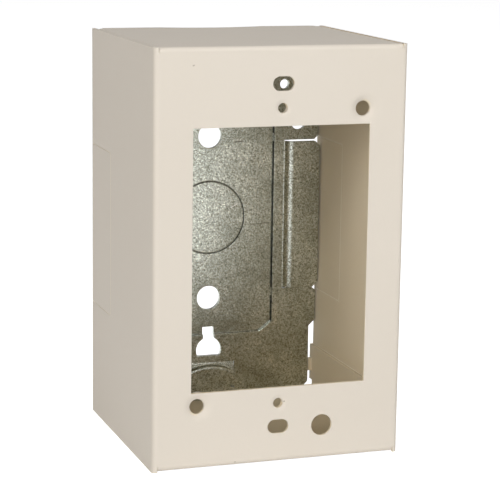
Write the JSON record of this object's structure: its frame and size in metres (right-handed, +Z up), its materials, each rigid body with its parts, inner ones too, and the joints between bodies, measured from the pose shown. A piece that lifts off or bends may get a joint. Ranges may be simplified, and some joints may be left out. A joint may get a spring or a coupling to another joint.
{
  "type": "surface raceway device box",
  "caption": "Extra-deep single-gang surface raceway box: folded steel cover with a device opening over a stamped, galvanised wall plate.",
  "frame": {"origin": "under the middle of the box, at the level of the lowest edge of its side walls", "axes": "+X to the right, +Y from the face into the wall, +Z up"},
  "size_m": [0.0734, 0.0666, 0.1178],
  "materials": {
    "ivory_paint": "satin powder coat",
    "galvanised_steel": "mottled zinc"
  },
  "bodies": {
    "root": {"cover": "ivory_paint", "base_plate": "galvanised_steel"}
  },
  "joints": []
}
